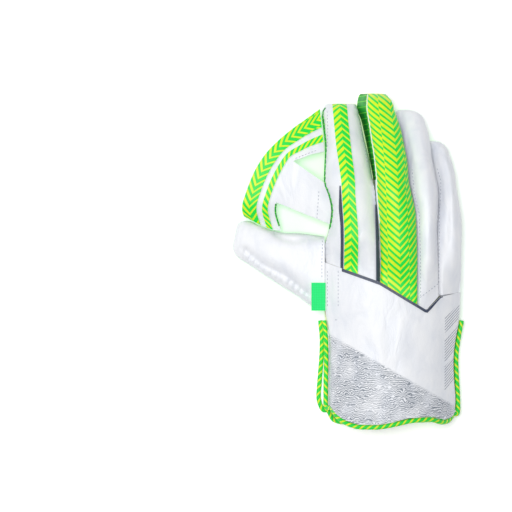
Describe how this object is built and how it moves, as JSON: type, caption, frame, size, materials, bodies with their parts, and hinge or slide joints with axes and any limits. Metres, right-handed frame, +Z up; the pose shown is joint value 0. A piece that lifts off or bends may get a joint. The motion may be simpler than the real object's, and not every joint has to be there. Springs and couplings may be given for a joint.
{
  "type": "wicketkeeping glove",
  "caption": "Right-hand padded keeping glove with a pimpled rubber palm, a web between thumb and index finger, and a long open cuff.",
  "frame": {"origin": "centre of the overall box at the surface that the glove lies on, palm down", "axes": "+Y from the cuff towards the fingertips, +Z up through the back of the hand, thumb towards -X"},
  "size_m": [0.2225, 0.3208, 0.0833],
  "materials": {
    "white_leather": "coated, fine grain",
    "woven_band": "green and yellow herringbone",
    "green_rubber": "pimpled, matt",
    "dark_trim": "raised line",
    "cord_piping": "diagonal green and yellow bands",
    "tab_cloth": "plain"
  },
  "bodies": {
    "root": {"index_back": "white_leather", "ring_back": "white_leather", "little_back": "white_leather", "thumb_back": "white_leather", "web_back": "white_leather", "back_cuff": "white_leather", "palm_cuff": "white_leather", "middle_back": "woven_band", "index_band": "woven_band", "web_band_wide": "woven_band", "web_band_narrow": "woven_band", "palm_facing": "green_rubber", "thumb_facing": "green_rubber", "web_facing": "green_rubber", "index_trim": "dark_trim", "wrist_trim": "dark_trim", "back_piping": "cord_piping", "palm_piping": "cord_piping", "wrist_tab": "tab_cloth"}
  },
  "joints": []
}
